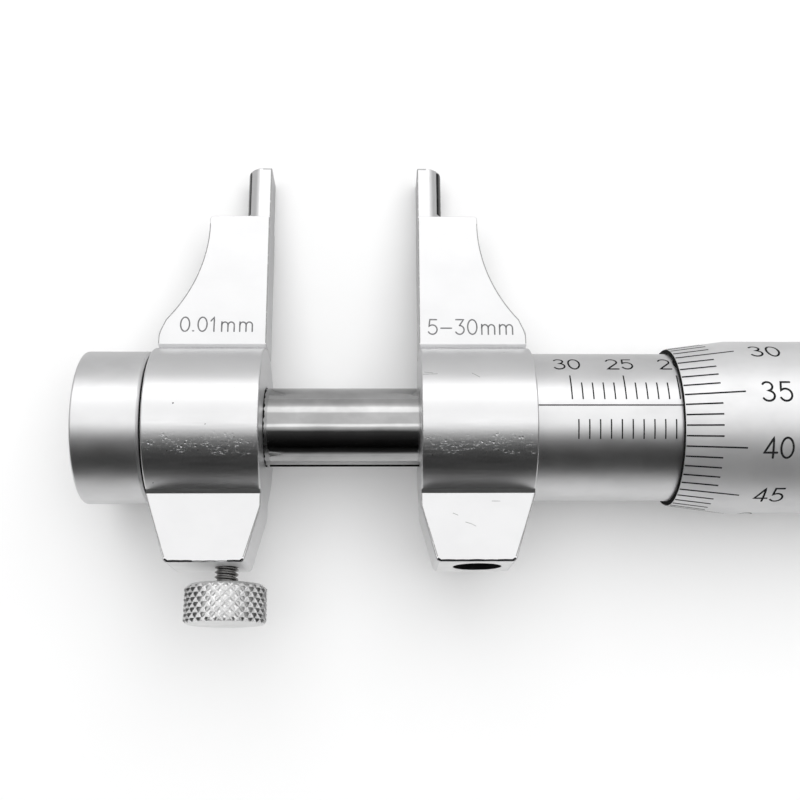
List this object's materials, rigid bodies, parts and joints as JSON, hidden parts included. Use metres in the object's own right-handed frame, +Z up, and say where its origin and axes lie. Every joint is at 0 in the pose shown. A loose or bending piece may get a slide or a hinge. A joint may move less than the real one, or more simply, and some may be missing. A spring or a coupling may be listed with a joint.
{
  "type": "inside micrometer",
  "caption": "Inside micrometer with caliper jaws on a guide tube, a graduated sleeve and thimble, a lock screw and a ratchet, for small inside widths.",
  "frame": {"origin": "on the table under the middle of the whole, at rest", "axes": "+X along the spindle towards the ratchet, +Y towards the blades' tips, +Z up, out of the front of the jaws, which lie rolled about X onto their tips"},
  "size_m": [0.1112, 0.0458, 0.0168],
  "materials": {
    "satin_chrome": "satin chrome plate with blackened graduations",
    "polished_steel": "hardened and polished",
    "plain_steel": "machined",
    "hard_metal": "ground, dark",
    "bronze": "machined"
  },
  "bodies": {
    "fixed_side": {"fixed_jaw": "satin_chrome", "fixed_jaw_tip": "hard_metal", "guide_key_screw": "plain_steel", "sleeve": "satin_chrome", "inner_sleeve": "plain_steel", "adjusting_nut": "plain_steel"},
    "jaw_carriage": {"movable_jaw": "satin_chrome", "movable_jaw_tip": "hard_metal", "guide_tube": "polished_steel", "bearing_bush": "bronze", "thrust_washer": "plain_steel", "end_cap": "satin_chrome"},
    "spindle_group": {"spindle": "polished_steel", "spindle_nut": "plain_steel", "spring_washer": "plain_steel", "thimble": "satin_chrome", "ratchet_stem": "plain_steel", "ratchet_spring": "plain_steel", "ratchet_washer": "plain_steel", "ratchet_screw": "plain_steel"},
    "clutch": {"ratchet_clutch": "plain_steel"},
    "knob": {"ratchet_knob": "satin_chrome"},
    "pad": {"lock_pad": "bronze"},
    "lock": {"lock_screw": "satin_chrome"}
  },
  "joints": [
    {"name": "jaw_slide", "type": "slide", "parent": "fixed_side", "child": "jaw_carriage", "axis": [-1, 0, 0], "range_m": [-0.01486, 0.01014]},
    {"name": "spindle_turn", "type": "hinge", "parent": "jaw_carriage", "child": "spindle_group", "pos_m": [-0.02346, -0.00385, 0.00842], "axis": [-1, 0, 0], "range_deg": [-10699.2, 7300.8]},
    {"name": "clutch_travel", "type": "slide", "parent": "spindle_group", "child": "clutch", "axis": [-1, 0, 0], "range_m": [0, 0.00045], "stiffness_N_per_m": 400, "springref_m": -0.001, "deforming": ["ratchet_spring"]},
    {"name": "ratchet_turn", "type": "hinge", "parent": "spindle_group", "child": "knob", "pos_m": [-0.02346, -0.00385, 0.00842], "axis": [-1, 0, 0], "continuous": true},
    {"name": "lock_travel", "type": "slide", "parent": "jaw_carriage", "child": "pad", "axis": [0, 0.971, -0.239], "range_m": [-0.00045, 0.00009]},
    {"name": "lock_turn", "type": "hinge", "parent": "pad", "child": "lock", "pos_m": [-0.04167, -0.02035, 0.01248], "axis": [0, 0.971, -0.239], "range_deg": [-360, 72]}
  ],
  "couplings": [
    {"joint": "spindle_turn", "follows": "jaw_slide", "rad_per_m": 12566},
    {"joint": "lock_turn", "follows": "lock_travel", "rad_per_m": 13963}
  ]
}
